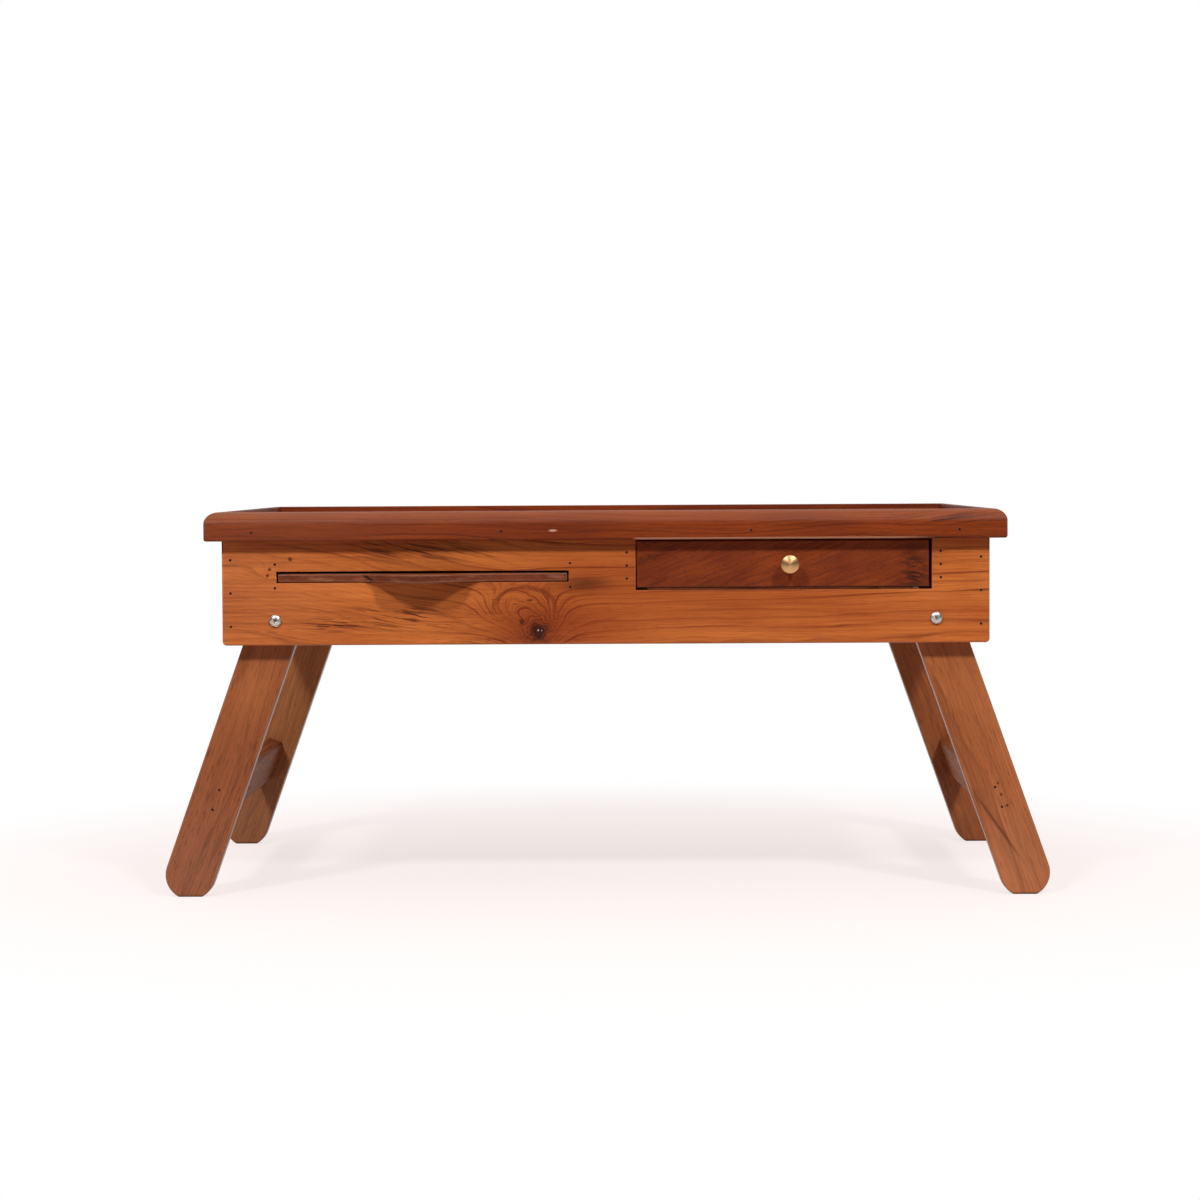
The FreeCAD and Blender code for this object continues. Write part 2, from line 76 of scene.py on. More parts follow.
def addNode(tree, kind, inputs=None, out=0, **settings):
    # one node with its settings and links: an input is a value, a hex colour or another node's output;
    # gives back the output that out names, or the whole node. A kind without a prefix is a shader node.
    node = tree.nodes.new(kind if "Node" in kind else "ShaderNode" + kind)
    for name, value in settings.items():
        setattr(node, name, value)
    for socket, value in (inputs or {}).items():
        if isinstance(value, bpy.types.NodeSocket):
            tree.links.new(value, node.inputs[socket])
        elif isinstance(value, str) and value.startswith("#"):
            node.inputs[socket].default_value = linear(value)
        else:
            node.inputs[socket].default_value = value
    return node if out is None else node.outputs[out]


rgb = {"out": 2, "data_type": "RGBA"}  # for a Mix node: colours, and its output for them
smooth = {"interpolation_type": "SMOOTHSTEP"}  # for a MapRange node
times, plus = {"operation": "MULTIPLY"}, {"operation": "ADD"}  # for Math and VectorMath nodes


def newObject(name, data):
    made = bpy.data.objects.new(name, data)
    scene.collection.objects.link(made)
    return made


def emptyMaterial(name):
    # a material without nodes, and what adds them
    material = bpy.data.materials.new(name)
    material.use_nodes = True
    material.node_tree.nodes.clear()
    return material, partial(addNode, material.node_tree)


def finishMaterial(add, inputs):
    surface = add("BsdfPrincipled", inputs)
    add("OutputMaterial", {"Surface": surface}, out=None)


# Teak, as a solid figure: rings about a pith that runs along X, in millimetres, so that the faces, edges
# and end grain of a board belong together. Each noise has its size along the grain and across it, in mm,
# its octaves and, for the ones that colour the wood, the two levels between which it shows.
teakNoise = {
    "slow": (240, 55, 1),  # long sweeps of the whole ring pattern
    "wobble": (70, 13, 2),
    "ragged": (14, 1.8, 2),
    "fade": (80, 6, 2, 0.38, 0.62),  # where a line shows and where it fades
    "blotch": (120, 34, 2, 0.34, 0.66),
    "fibre": (60, 1.5, 3, 0.3, 0.7),  # drawn coarser than real fibres, to show at this size
    "pore": (8, 0.8, 1, 0.58, 0.72),  # open pores, also drawn coarse
    "streak": (90, 5, 3, 0.57, 0.72),
}
ringSet = {"wobble": 5, "ragged": 0.9,  # how far these two noises sway a ring, mm
           "years": 17, "spread": 7,  # length of a run of good or bad years and what it adds, mm
           "darkens": (0.2, 0.94),  # where in its width a ring starts to darken and ends
           "lot": (0.1, 0.9), "faintest": 0.25, "faded": 0.4,  # how weak a ring or a stretch of it can be
           "Line": (1, 7), "Hair": (0.23, 2),  # share of the ring's width, and sharpness
           "fibreRise": 0.5}  # height of the fibres beside the depth of the pores
teakInputs = {"Place": "Vector", "Pale": "Color", "Deep": "Color", "Late": "Color", "Dark": "Color"}
for name in ("Lift", "RingWidth", "Waver", "Line", "Hair", "Blotch", "Fibre", "Pore", "Streak"):
    teakInputs[name] = "Float"


def teakGroup():
    tree = bpy.data.node_groups.new("teak", "ShaderNodeTree")
    for name, kind in teakInputs.items():
        tree.interface.new_socket(name, in_out="INPUT", socket_type="NodeSocket" + kind)
    for name, kind in {"Colour": "Color", "Fibre": "Float", "Height": "Float"}.items():
        tree.interface.new_socket(name, in_out="OUTPUT", socket_type="NodeSocket" + kind)
    add = partial(addNode, tree)
    given = add("NodeGroupInput", out=None).outputs
    noise = {}
    for key, (along, across, octaves, *levels) in teakNoise.items():
        sizes = (1 / along, 1 / across, 1 / across)
        scaled = add("VectorMath", {0: given["Place"], 1: sizes}, **times)
        noise[key] = add("TexNoise", {"Vector": scaled, "Scale": 1, "Detail": octaves})
        if levels:
            noise[key] = add("MapRange", {0: noise[key], 1: levels[0], 2: levels[1]})
        else:
            noise[key] = add("Math", {0: noise[key], 1: 0.5}, operation="SUBTRACT")

    # distance from the pith, swayed along the tree, with good and bad years
    field = add("VectorMath", {0: given["Place"], 1: (0, 1, 1)}, **times)
    field = add("VectorMath", {0: field}, out="Value", operation="LENGTH")
    field = add("Math", {0: field, 1: given["Lift"]}, **plus)
    for key, sway in (("slow", given["Waver"]), ("wobble", ringSet["wobble"]), ("ragged", ringSet["ragged"])):
        field = add("Math", {0: noise[key], 1: sway, 2: field}, operation="MULTIPLY_ADD")
    years = add("TexNoise", {"W": field, "Scale": 1 / ringSet["years"], "Detail": 1}, noise_dimensions="1D")
    field = add("Math", {0: years, 1: ringSet["spread"], 2: field}, operation="MULTIPLY_ADD")

    # a ring darkens slowly and ends sharply; some rings are strong and most are faint; hairs are finer lines
    masks = {}
    start, end = ringSet["darkens"]
    weak, strong = ringSet["lot"]
    for name in ("Line", "Hair"):
        share, sharpness = ringSet[name]
        width = add("Math", {0: given["RingWidth"], 1: share}, **times)
        phase = add("Math", {0: field, 1: width}, operation="DIVIDE")
        saw = add("Math", {0: phase}, operation="FRACT")
        grown = add("MapRange", {0: saw, 1: start, 2: end}, **smooth)
        ended = add("MapRange", {0: saw, 1: end, 2: 1, 3: 1, 4: 0})
        ring = add("Math", {0: phase}, operation="FLOOR")
        lot = add("TexWhiteNoise", {"W": ring}, noise_dimensions="1D")
        lot = add("MapRange", {0: lot, 1: weak, 2: strong, 3: ringSet["faintest"], 4: 1})
        shown = add("MapRange", {0: noise["fade"], 3: ringSet["faded"], 4: 1})
        mask = add("Math", {0: grown, 1: sharpness}, operation="POWER")
        for factor in (ended, lot, shown, given[name]):
            mask = add("Math", {0: mask, 1: factor}, **times)
        masks[name] = mask
    for name in ("Streak", "Pore"):
        masks[name] = add("Math", {0: noise[name.lower()], 1: given[name]}, **times)

    tone = add("Math", {0: noise["fibre"], 1: given["Fibre"]}, **times)
    tone = add("Math", {0: noise["blotch"], 1: given["Blotch"], 2: tone}, operation="MULTIPLY_ADD")
    colour = add("Mix", {0: tone, 6: given["Pale"], 7: given["Deep"]}, **rgb)
    for name, ink in (("Hair", "Late"), ("Line", "Late"), ("Streak", "Dark"), ("Pore", "Dark")):
        colour = add("Mix", {0: masks[name], 6: colour, 7: given[ink]}, **rgb)
    height = add("Math", {0: noise["fibre"], 1: ringSet["fibreRise"]}, **times)
    height = add("Math", {0: height, 1: noise["pore"]}, operation="SUBTRACT")
    add("NodeGroupOutput", {"Colour": colour, "Fibre": noise["fibre"], "Height": height}, out=None)
    return tree


teak = teakGroup()


# Marks on single boards. Each takes a place in mm from the board's middle and gives a mask.
def nearness(add, place, at, reach):
    # 0 in the middle, 1 at the edge of an ellipse in X and Z
    moved = add("VectorMath", {0: place, 1: (at[0], 0, at[1])}, operation="SUBTRACT")
    scale = (1 / reach[0], 0, 1 / reach[1])
    scaled = add("VectorMath", {0: moved, 1: scale}, **times)
    return add("VectorMath", {0: scaled}, out="Value", operation="LENGTH")


def swellOf(add, distance, gain):
    # a smooth hill: gain at its middle, nothing far out
    square = add("Math", {0: distance, 1: 2}, operation="POWER")
    turned = add("Math", {0: square, 1: -1}, **times)
    hill = add("Math", {0: turned}, operation="EXPONENT")
    return add("Math", {0: hill, 1: gain}, **times)


def patchOf(add, place, patch):
    return swellOf(add, nearness(add, place, patch["at"], patch["reach"]), patch["gain"])


def spotOf(add, place, at, size, gain, edge=(0.5, 1.3)):
    # a small spot with a soft edge
    distance = nearness(add, place, at, size)
    return add("MapRange", {0: distance, 1: edge[0], 2: edge[1], 3: gain, 4: 0})


def spotsOf(add, place, group):
    # spots of one kind, each with its ink
    return [(spotOf(add, place, at, size, group["gain"]), group["ink"]) for at, size in group["spots"]]


def crackOf(add, place, crack):
    # a fine line on a slope (degrees, falling to the right): half its length and half its width
    at = (crack["at"][0], 0, crack["at"][1])
    moved = add("VectorMath", {0: place, 1: at}, operation="SUBTRACT")
    turned = add("Mapping", {"Vector": moved, "Rotation": (0, -math.radians(crack["slope"]), 0)})
    return spotOf(add, turned, (0, 0), crack["reach"], crack["gain"], edge=(0.4, 1))


def flecksOf(add, place, fleck):
    # dashes that lie along a slope (degrees, falling to the right): length and height
    turned = add("Mapping", {"Vector": place, "Location": (fleck["seed"], 0, 0),
                             "Rotation": (0, -math.radians(fleck["slope"]), 0)})
    length, height = fleck["size"]
    scale = (1 / length, 1 / length, 1 / height)
    scaled = add("VectorMath", {0: turned, 1: scale}, **times)
    noise = add("TexNoise", {"Vector": scaled, "Scale": 1, "Detail": 3})
    return add("MapRange", {0: noise, 1: fleck["levels"][0], 2: fleck["levels"][1]})


def streakOf(add, place, about, streak):
    # flecks that gather about one place
    dashes, there = flecksOf(add, place, streak), patchOf(add, about, streak)
    return add("Math", {0: dashes, 1: there}, **times)


def bandOf(add, level, node, band):
    # a band along a piece's lower edge: where over its foot it starts to fade, and where it ends
    low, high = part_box(node)
    foot = -(high.z - low.z) / 2 / mm
    start, end = foot + band["from"], foot + band["to"]
    upright = add("SeparateXYZ", {0: level}, out="Z")
    return add("MapRange", {0: upright, 1: start, 2: end, 3: band["gain"], 4: 0})


# mm from board to board in the tree, strength and depth of the fibres' relief, and rounding of arrises
boardSet = {"apart": 613, "relief": 0.15, "depth": 0.1, "arris": 0.35, "steps": 2, "shortest": 1.2,
            "sharp": 26, "flat": 0.6}  # degrees
alongX, alongY = (0, 0, 0), (0, 0, -90)


def easedCopy(node, material):
    # the CAD board with its sharp arrises rounded; the rounding is marked for the wear and the painted
    # highlight on it
    bm = bmesh.new()
    bm.from_mesh(nodes[node].data)
    arrisMark = bm.loops.layers.float.new("arris")
    bmesh.ops.remove_doubles(bm, verts=bm.verts, dist=weld)
    bmesh.ops.dissolve_limit(bm, angle_limit=math.radians(boardSet["flat"]), verts=bm.verts, edges=bm.edges,
                             use_dissolve_boundaries=False)
    sharp = []
    for edge in bm.edges:
        edge.smooth = True
        angle = edge.calc_face_angle_signed(0)
        if angle > math.radians(boardSet["sharp"]) and edge.calc_length() > boardSet["shortest"] * mm:
            sharp.append(edge)
        elif abs(angle) > math.radians(boardSet["sharp"]):
            edge.smooth = False
    made = bmesh.ops.bevel(bm, geom=sharp, offset=boardSet["arris"] * mm, offset_type="OFFSET",
                           segments=boardSet["steps"], profile=0.5, affect="EDGES", clamp_overlap=False)
    for face in made["faces"]:
        for loop in face.loops:
            loop[arrisMark] = 1.0
    for face in bm.faces:
        face.smooth = True
    mesh = bpy.data.meshes.new("eased_" + node)
    bm.to_mesh(mesh)
    bm.free()
    if "custom_normal" in mesh.attributes:
        mesh.attributes.remove(mesh.attributes["custom_normal"])
    mesh.materials.clear()
    mesh.materials.append(material)
    piece = newObject("eased_" + node, mesh)
    weighted = piece.modifiers.new("flat faces stay flat", "WEIGHTED_NORMAL")
    weighted.keep_sharp = True
    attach(piece, nodes[node]["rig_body"])
    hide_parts(node)


def dressBoard(node, name, look, turn, seed, marks=None):
    # turn brings the board's length to X; the pith lies off the board's middle by look["pith"]
    material, add = emptyMaterial(name)
    angles = [math.radians(a) for a in turn]
    low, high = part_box(node)
    middle = Matrix.Rotation(angles[2], 3, "Z") @ Matrix.Rotation(angles[1], 3, "Y") @ ((low + high) / 2 / mm)
    coords = add("TexCoord", out="Object")
    centred = add("Mapping", {"Vector": coords, "Location": -middle, "Rotation": angles,
                              "Scale": (1 / mm,) * 3})
    off = (seed * boardSet["apart"], -look["pith"][0], -look["pith"][1])
    place = add("VectorMath", {0: centred, 1: off}, **plus)
    if "shorten" in look:
        place = add("VectorMath", {0: place, 1: (look["shorten"], 1, 1)}, **times)
    found = marks(add, centred) if marks else {}  # what one board has of its own
    if "shift" in found:
        place = add("VectorMath", {0: place, 1: found["shift"]}, **plus)
    figure = {key: value for key, value in look.items() if key in teakInputs}
    figure.update({"Place": place}, **found.get("figure", {}))
    seen = add("Group", figure, out=None, node_tree=teak).outputs
    colour = seen["Colour"]
    for mask, ink in found.get("stains", []):
        colour = add("Mix", {0: mask, 6: colour, 7: ink}, **rgb)
    # the rounded arrises are painted paler: partly wear, partly a painted highlight
    worn = add("Attribute", out="Fac", attribute_name="arris")
    worn = add("Math", {0: worn, 1: look["wear"]}, **times)
    colour = add("Mix", {0: worn, 6: colour, 7: look["worn"]}, **rgb)
    rough = add("MapRange", {0: seen["Fibre"], 3: look["rough"][0], 4: look["rough"][1]})
    bump = add("Bump", {"Strength": boardSet["relief"], "Distance": boardSet["depth"] * mm,
                        "Height": seen["Height"]})
    finishMaterial(add, {"Base Color": colour, "Roughness": rough, "Normal": bump,
                         "Specular IOR Level": look["gloss"]})
    easedCopy(node, material)


# Front apron: golden teak under a satin varnish, flat sawn, with a knot low in the middle, dark streaks
# that fall to the right on its left half, and long quiet lines on its right half. Places are in mm from the
# board's middle, as on the other boards.
apronSet = {
    "look": {
        "Pale": "#d67d3b", "Deep": "#9e491d", "Late": "#5e2009", "Dark": "#401608", "worn": "#b8683a",
        "wear": 0.25, "RingWidth": 6.5, "Waver": 16, "Line": 1, "Hair": 0.4, "Blotch": 0.6,
        "Fibre": 0.4, "Pore": 0.2, "Streak": 0.2, "pith": (52, -46), "rough": (0.3, 0.38), "gloss": 0.22,
    },
    "seed": 3, "core": (-46.5, -26.5), "wander": 5, "wanderLength": 18,
    # the rings climb round the branch on hills, and bend round pin knots at the left
    "hills": [{"at": (-64, -12), "reach": (20, 13), "gain": 24},
              {"at": (-53, -16), "reach": (24, 15), "gain": 22},
              {"at": (-46.5, -26), "reach": (13, 11), "gain": 40},
              {"at": (-226, 14), "reach": (14, 9), "gain": 7}],
    # from, to and rise of the grain's fall on the left half, which flattens towards the lower edge
    "tilt": (-260, -60, 28), "flat": (-40, 20, 0.2), "right": (20, 250, -9),
    # what the lines gain near the knot, and lose at the left end
    "near": (44, 30), "gains": {"Line": 1.5, "Hair": 1.3, "Pore": 0.5},
    "quiet": {"at": (-205, 0), "reach": (80, 70), "gain": -0.55},
    # a red middle, a paler left end, brown round the knot, and a broad ring over it
    "red": {"at": (8, 0), "reach": (162, 60), "gain": 0.58, "ink": "#8a3812"},
    "dry": {"at": (-245, 0), "reach": (50, 45), "gain": 0.07, "ink": "#e0a478"},
    "brown": {"reach": (30, 19), "gain": 0.6, "ink": "#772d10"},
    "arc": {"at": (-55.5, -13), "reach": (21.5, 16.5), "edge": (0.02, 0.13), "gain": 0.55, "from": (-18, -4),
            "ink": "#5a2009"},
    "streakInk": "#42170a",
    "streaks": [{"at": (-142, -17), "reach": (46, 8), "slope": 10, "size": (26, 1.1), "levels": (0.53, 0.58),
                 "gain": 0.9, "seed": 40},
                {"at": (-186, -22), "reach": (26, 4), "slope": 3, "size": (18, 1.1), "levels": (0.51, 0.56),
                 "gain": 1, "seed": 75},
                {"at": (-125, 29), "reach": (62, 9), "slope": 13, "size": (40, 2), "levels": (0.5, 0.62),
                 "gain": 0.85, "seed": 95},
                {"at": (-13.5, 5), "reach": (18, 5), "slope": 8, "size": (30, 6), "levels": (0.2, 0.42),
                 "gain": 0.72, "seed": 130}],
    # the branch's own rings: turns in the core's size, where one is dark, and how they and the core fade
    "branch": {"size": (6.6, 6.8), "grit": 6, "ragged": 1.3, "turns": 3.2, "dark": (0.45, 0.9),
               "fade": (1.6, 3.3, 0.85), "ink": "#3f1409", "core": (1.2, 1.85, 0.9), "coreInk": "#2c0e08"},
    "pins": {"gain": 0.8, "ink": "#3a1409",
             "spots": [((-217, 23), (1.7, 1.7)), ((-231, 17), (1.2, 1.2)), ((-232, 13), (1.3, 1.3)),
                       ((-52, -4.6), (2.4, 0.9)), ((-58, -20.5), (1.6, 2.4))]},
    # painted highlight: two pale glints in the knot's core
    "resin": {"gain": 0.8, "ink": "#c4b2a8",
              "spots": [((-46.2, -26.3), (0.6, 0.7)), ((-43.8, -26.5), (0.4, 0.4))]},
}


def apronMarks(add, centred):
    core, arc, branch = apronSet["core"], apronSet["arc"], apronSet["branch"]
    drift = add("TexNoise", {"Vector": centred, "Scale": 1 / apronSet["wanderLength"], "Detail": 2},
                out="Color")
    drift = add("VectorMath", {0: drift, 1: (0.5, 0.5, 0.5)}, operation="SUBTRACT")
    drift = add("VectorMath", {0: drift, "Scale": apronSet["wander"]}, operation="SCALE")
    adrift = add("VectorMath", {0: centred, 1: drift}, **plus)
    along, upright = [add("SeparateXYZ", {0: centred}, out=axis) for axis in "XZ"]

    low, high, share = apronSet["flat"]
    level = add("MapRange", {0: upright, 1: low, 2: high, 3: share, 4: 1}, **smooth)
    start, end, rise = apronSet["tilt"]
    lift = add("MapRange", {0: along, 1: start, 2: end, 4: rise}, **smooth)
    lift = add("Math", {0: lift, 1: level}, **times)
    start, end, rise = apronSet["right"]
    climbs = [add("MapRange", {0: along, 1: start, 2: end, 4: rise})]
    climbs += [patchOf(add, adrift, hill) for hill in apronSet["hills"]]
    for climb in climbs:
        lift = add("Math", {0: lift, 1: climb}, **plus)
    figure = {"Lift": lift}
    near = nearness(add, adrift, core, apronSet["near"])
    for name, gain in apronSet["gains"].items():
        swell = swellOf(add, near, gain)
        figure[name] = add("Math", {0: swell, 1: apronSet["look"][name]}, **plus)
    quiet = patchOf(add, centred, apronSet["quiet"])
    figure["Line"] = add("Math", {0: figure["Line"], 1: quiet}, **plus)

    brown = dict(apronSet["brown"], at=core)
    tones = ((centred, apronSet["red"]), (centred, apronSet["dry"]), (adrift, brown))
    stains = [(patchOf(add, place, tone), tone["ink"]) for place, tone in tones]
    # only the upper half of the broad ring
    ring = nearness(add, adrift, arc["at"], arc["reach"])
    ring = add("Math", {0: ring, 1: 1}, operation="SUBTRACT")
    ring = add("Math", {0: ring}, operation="ABSOLUTE")
    inner, outer = arc["edge"]
    ring = add("MapRange", {0: ring, 1: inner, 2: outer, 3: arc["gain"], 4: 0}, **smooth)
    over = add("MapRange", {0: upright, 1: arc["from"][0], 2: arc["from"][1]})
    stains.append((add("Math", {0: ring, 1: over}, **times), arc["ink"]))
    for streak in apronSet["streaks"]:
        stains.append((streakOf(add, centred, adrift, streak), apronSet["streakInk"]))
    stains += spotsOf(add, adrift, apronSet["pins"])
    # rings of the branch itself, crowded round its dark core
    grit = add("TexNoise", {"Vector": centred, "Scale": 1 / branch["grit"], "Detail": 3})
    field = nearness(add, centred, core, branch["size"])
    field = add("Math", {0: grit, 1: branch["ragged"], 2: field}, operation="MULTIPLY_ADD")
    turns = add("Math", {0: field, 1: branch["turns"]}, **times)
    turns = add("Math", {0: turns}, operation="FRACT")
    turns = add("MapRange", {0: turns, 1: branch["dark"][0], 2: branch["dark"][1]})
    fade, dark = [add("MapRange", {0: field, 1: start, 2: end, 3: gain, 4: 0})
                  for start, end, gain in (branch["fade"], branch["core"])]
    stains.append((add("Math", {0: turns, 1: fade}, **times), branch["ink"]))
    stains.append((dark, branch["coreInk"]))
    # with the knot's painted glints
    return {"figure": figure, "stains": stains + spotsOf(add, centred, apronSet["resin"])}


dressBoard("apron_front", "sawn teak, satin varnish, front apron", apronSet["look"], alongX, apronSet["seed"],
           apronMarks)

# Other aprons, from the same plank
sideSet = {"look": dict(apronSet["look"], Waver=46), "seed": 11,
           "turns": {"apron_rear": alongX, "apron_left": alongY, "apron_right": alongY}}
for seed, (node, turn) in enumerate(sideSet["turns"].items(), sideSet["seed"]):
    dressBoard(node, "sawn teak, satin varnish, " + node, sideSet["look"], turn, seed)

# Rim: redder teak, straight grained, handled and polished. The front strip has a small pale dent in the
# varnish, a lower arris over the drawer painted pale as a painted highlight, a dark streak, and a rounded
# crown and left end painted paler as a painted sheen.
rimSet = {
    "look": {
        "Pale": "#8f3c0e", "Deep": "#642306", "Late": "#3a1005", "Dark": "#2c0c05", "worn": "#8d4a30",
        "wear": 0.3, "RingWidth": 2.9, "Waver": 26, "Line": 0.75, "Hair": 0.65, "Blotch": 0.6,
        "Fibre": 0.5, "Pore": 0.3, "Streak": 0.18, "pith": (14, 42), "rough": (0.44, 0.52), "gloss": 0.15,
    },
    "seed": 21,
    "turns": {"rim_front": alongX, "rim_rear": alongX, "rim_left": alongY, "rim_right": alongY},
    # painted sheen: the rounded crown of the front strip is painted paler
    "crown": {"from": 1, "to": 8, "gain": 0.16, "ink": "#b97a58"},
    # painted sheen: the left end of the front strip is painted paler
    "dryEnd": {"at": (-240, 0), "reach": (120, 40), "gain": 0.08, "ink": "#b97a58"},
    "streak": {"at": (238, 3), "reach": (30, 4.5), "slope": -8.5, "size": (40, 1.6), "levels": (0.48, 0.58),
               "gain": 0.8, "seed": 15, "ink": "#35100a"},
    "dent": {"at": (-35.5, -3.5), "size": (3.2, 0.9), "edge": (0.5, 1.1), "gain": 0.8, "ink": "#c79a86"},
    # painted highlight: a pale line along the lower arris over the drawer
    "lip": {"from": 0.91, "to": 1.69, "gain": 0.9, "ends": ((19, 22), (227, 202)), "ink": "#b98468"},
}


def rimMarks(add, centred):
    crown, dent, lip = rimSet["crown"], rimSet["dent"], rimSet["lip"]
    along, upright = [add("SeparateXYZ", {0: centred}, out=axis) for axis in "XZ"]
    # a pale band along the lower arris over the drawer, a painted highlight
    rubbed = bandOf(add, centred, "rim_front", lip)
    for start, end in lip["ends"]:
        inside = add("MapRange", {0: along, 1: start, 2: end})
        rubbed = add("Math", {0: rubbed, 1: inside}, **times)
    masks = {"crown": add("MapRange", {0: upright, 1: crown["from"], 2: crown["to"], 4: crown["gain"]}),
             "dryEnd": patchOf(add, centred, rimSet["dryEnd"]),
             "streak": streakOf(add, centred, centred, rimSet["streak"]),
             "dent": spotOf(add, centred, dent["at"], dent["size"], dent["gain"], dent["edge"]),
             "lip": rubbed}
    return {"stains": [(mask, rimSet[name]["ink"]) for name, mask in masks.items()]}


for seed, (node, turn) in enumerate(rimSet["turns"].items(), rimSet["seed"]):
    dressBoard(node, "moulded teak, rubbed varnish, " + node, rimSet["look"], turn, seed,
               rimMarks if node == "rim_front" else None)

# Tray panel: narrow boards edge to edge, each with a figure of its own
panelSet = {"look": dict(apronSet["look"], Waver=40, Hair=0.6, pith=(25, -60)), "seed": 31,
            "width": 66, "apart": (3000, 0, 60), "joint": 0.5,  # mm
            "tone": 0.45, "toneInk": "#8a4120", "jointGain": 0.8, "jointInk": "#3a170c"}


def panelMarks(add, centred):
    width = panelSet["width"]
    depth = add("SeparateXYZ", {0: centred}, out="Y")
    steps = add("Math", {0: depth, 1: width}, operation="DIVIDE")
    index = add("Math", {0: steps}, operation="FLOOR")
    lot = add("TexWhiteNoise", {"W": index}, out=None, noise_dimensions="1D").outputs
    shift = add("VectorMath", {0: lot["Color"], 1: panelSet["apart"]}, **times)
    back = add("Math", {0: index, 1: -width}, **times)
    back = add("CombineXYZ", {"Y": back})
    shift = add("VectorMath", {0: shift, 1: back}, **plus)
    share = add("Math", {0: steps, 1: 0.5}, operation="PINGPONG")
    edge = panelSet["joint"] / width
    joint = add("MapRange", {0: share, 1: 0, 2: edge, 3: panelSet["jointGain"], 4: 0})
    tone = add("Math", {0: lot["Value"], 1: panelSet["tone"]}, **times)
    return {"shift": shift, "stains": [(tone, panelSet["toneInk"]), (joint, panelSet["jointInk"])]}


dressBoard("tray_panel", "planed teak, satin varnish, tray panel", panelSet["look"], alongX, panelSet["seed"],
           panelMarks)

# Legs and stretchers: browner teak with the grain along them. The left side has more pores, the right side
# is yellower, and the rear left leg is a paler board. Places are mm up the leg from its middle, and across.
legSet = {
    "look": {
        "Pale": "#a35d35", "Deep": "#804322", "Late": "#52240e", "Dark": "#421d0e", "worn": "#ad7450",
        "wear": 0.3, "RingWidth": 4.5, "Waver": 22, "Line": 0.6, "Hair": 0.5, "Blotch": 0.65,
        "Fibre": 0.5, "Pore": 0.3, "Streak": 0.3, "pith": (34, 16), "rough": (0.34, 0.42), "gloss": 0.25,
    },
    "left": {"Pore": 0.6, "Line": 0.7},
    "right": {"Pale": "#bd7040", "Deep": "#95522a", "RingWidth": 4, "Waver": 10, "Hair": 0.4,
              "Streak": 0.12},
    "leg_rear_left": {"Pale": "#bd7a48", "Deep": "#985a31"},
    "stretcher": {"rough": (0.45, 0.55), "gloss": 0.03},
    "splay": 19.5, "seeds": {"front": 41, "rear": 46, "stretcher": 50},
    # three legs have a pale patch of painted light low down, and every sole has a painted contact shadow
    "scuff": {"at": (-90, 0), "reach": (42, 34), "ink": "#c4937a"},
    "scuffGains": {"leg_front_left": 0.1, "leg_rear_left": 0.12, "leg_front_right": 0.09},
    "dirt": {"from": 0.7, "to": 2, "gain": 0.75, "ink": "#2a110a"},
    "patches": {"leg_front_left": [{"at": (43, 0), "reach": (30, 15), "gain": 0.4, "ink": "#b66c3a"},
                                   {"at": (-12, 0), "reach": (36, 26), "gain": 0.4, "ink": "#6b3519"}]},
    "marked": "leg_front_right",  # the leg with a crack and pits beside its nails
    "crack": {"at": (-58, 7.6), "slope": -15.6, "reach": (36, 1.5), "gain": 0.6, "ink": "#481909"},
    "pits": {"gain": 0.85, "ink": "#2f130b",
             "spots": [((-38.5, -2), (1.1, 0.9)), ((-47, -3.3), (1.2, 1)), ((-30.3, -2.5), (1, 0.8))]},
}


def legMarks(add, centred, node, lean):
    patches = list(legSet["patches"].get(node, []))
    # a pale patch of painted light on the lower end of three legs
    if node in legSet["scuffGains"]:
        patches.append(dict(legSet["scuff"], gain=legSet["scuffGains"][node]))
    stains = [(patchOf(add, centred, patch), patch["ink"]) for patch in patches]
    if node == legSet["marked"]:
        stains.append((crackOf(add, centred, legSet["crack"]), legSet["crack"]["ink"]))
        stains += spotsOf(add, centred, legSet["pits"])
    # painted contact shadow: a dark band along each sole
    level = add("Mapping", {"Vector": centred, "Rotation": (0, -math.radians(lean), 0)})
    return {"stains": stains + [(bandOf(add, level, node, legSet["dirt"]), legSet["dirt"]["ink"])]}


for step, side in enumerate(("left", "right")):
    lean = 90 - legSet["splay"] if side == "left" else 90 + legSet["splay"]
    for end in ("front", "rear"):
        node = f"leg_{end}_{side}"
        look = dict(legSet["look"], **legSet.get(node, legSet[side]))
        dressBoard(node, "sawn teak, satin varnish, " + node, look, (0, lean, 0), legSet["seeds"][end] + step,
                   partial(legMarks, node=node, lean=lean))
    node = "stretcher_" + side
    look = dict(legSet["look"], **legSet[side], **legSet["stretcher"])
    dressBoard(node, "sawn teak, thin varnish, " + node, look, alongY, legSet["seeds"]["stretcher"] + step)

